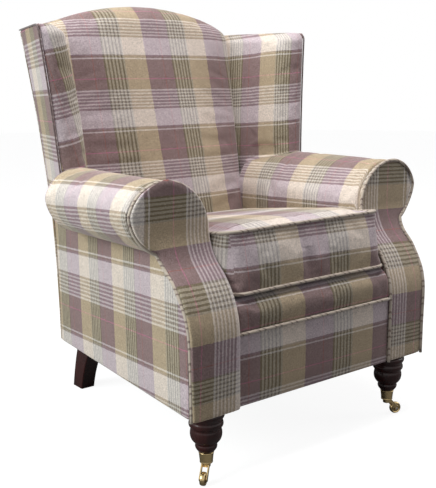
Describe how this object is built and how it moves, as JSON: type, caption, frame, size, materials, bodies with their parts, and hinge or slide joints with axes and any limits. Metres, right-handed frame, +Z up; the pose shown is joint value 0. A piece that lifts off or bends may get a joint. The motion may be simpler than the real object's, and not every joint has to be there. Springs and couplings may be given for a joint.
{
  "type": "fireside chair",
  "caption": "Upholstered fireside chair with wings, scroll arms, a loose seat cushion, turned front legs on castors and raked back legs.",
  "frame": {"origin": "on the floor under the middle of the bounding box", "axes": "+Z up; the chair faces -Y; +X is the sitter's left"},
  "size_m": [0.887, 0.8239, 1.056],
  "materials": {
    "plaid_wool": "matte woven wool",
    "piping": "matte woven wool",
    "beech": "bare sawn",
    "mahogany": "polished",
    "brass": "satin",
    "castor_wheel": "satin",
    "steel": "plain",
    "webbing": "matte woven jute",
    "lining_cloth": "matte cotton",
    "black_cloth": "matte cotton"
  },
  "bodies": {
    "chair": {"arm_facing_left": "plaid_wool", "arm_facing_right": "plaid_wool", "arm_rail_left": "beech", "arm_rail_right": "beech", "arm_stump_left": "beech", "arm_stump_right": "beech", "back_leg_left": "mahogany", "back_leg_right": "mahogany", "back_post_left": "beech", "back_post_right": "beech", "back_webbing": "webbing", "border_piping": "piping", "castor_cup_left": "brass", "castor_cup_right": "brass", "castor_pin_left": "steel", "castor_pin_right": "steel", "corner_block_front_left": "beech", "corner_block_front_right": "beech", "corner_block_rear_left": "beech", "corner_block_rear_right": "beech", "dust_cover": "black_cloth", "facing_piping_left": "piping", "facing_piping_right": "piping", "front_border": "plaid_wool", "front_leg_bolts": "steel", "front_leg_left": "mahogany", "front_leg_right": "mahogany", "front_lip": "plaid_wool", "inside_arm_left": "plaid_wool", "inside_arm_right": "plaid_wool", "inside_back": "plaid_wool", "lower_back_rail": "beech", "outside_arm_left": "plaid_wool", "outside_arm_right": "plaid_wool", "outside_back": "plaid_wool", "outside_wing_left": "plaid_wool", "outside_wing_right": "plaid_wool", "seat_deck": "lining_cloth", "seat_rail_back": "beech", "seat_rail_front": "beech", "seat_rail_side_left": "beech", "seat_rail_side_right": "beech", "seat_webbing": "webbing", "top_rail": "beech", "wing_board_left": "beech", "wing_board_right": "beech", "wing_left": "plaid_wool", "wing_piping_left": "piping", "wing_piping_right": "piping", "wing_right": "plaid_wool"},
    "horn_left": {"castor_horn_left": "brass", "castor_axle_left": "steel"},
    "wheel_left": {"castor_wheel_left": "castor_wheel"},
    "horn_right": {"castor_horn_right": "brass", "castor_axle_right": "steel"},
    "wheel_right": {"castor_wheel_right": "castor_wheel"},
    "cushion": {"seat_cushion": "plaid_wool", "cushion_piping_top": "piping", "cushion_piping_bottom": "piping"}
  },
  "joints": [
    {"name": "castor_swivel_left", "type": "hinge", "parent": "chair", "child": "horn_left", "pos_m": [0.2945, -0.3615, 0.0378], "axis": [0, 0, 1], "continuous": true},
    {"name": "wheel_spin_left", "type": "hinge", "parent": "horn_left", "child": "wheel_left", "pos_m": [0.31936, -0.3691, 0.015], "axis": [0.2924, 0.9563, 0], "continuous": true},
    {"name": "castor_swivel_right", "type": "hinge", "parent": "chair", "child": "horn_right", "pos_m": [-0.2945, -0.3615, 0.0378], "axis": [0, 0, 1], "continuous": true},
    {"name": "wheel_spin_right", "type": "hinge", "parent": "horn_right", "child": "wheel_right", "pos_m": [-0.31499, -0.37751, 0.015], "axis": [0.6157, -0.788, 0], "continuous": true},
    {"name": "cushion_lift", "type": "slide", "parent": "chair", "child": "cushion", "axis": [0, 0, 1], "range_m": [0, 0.25]}
  ]
}
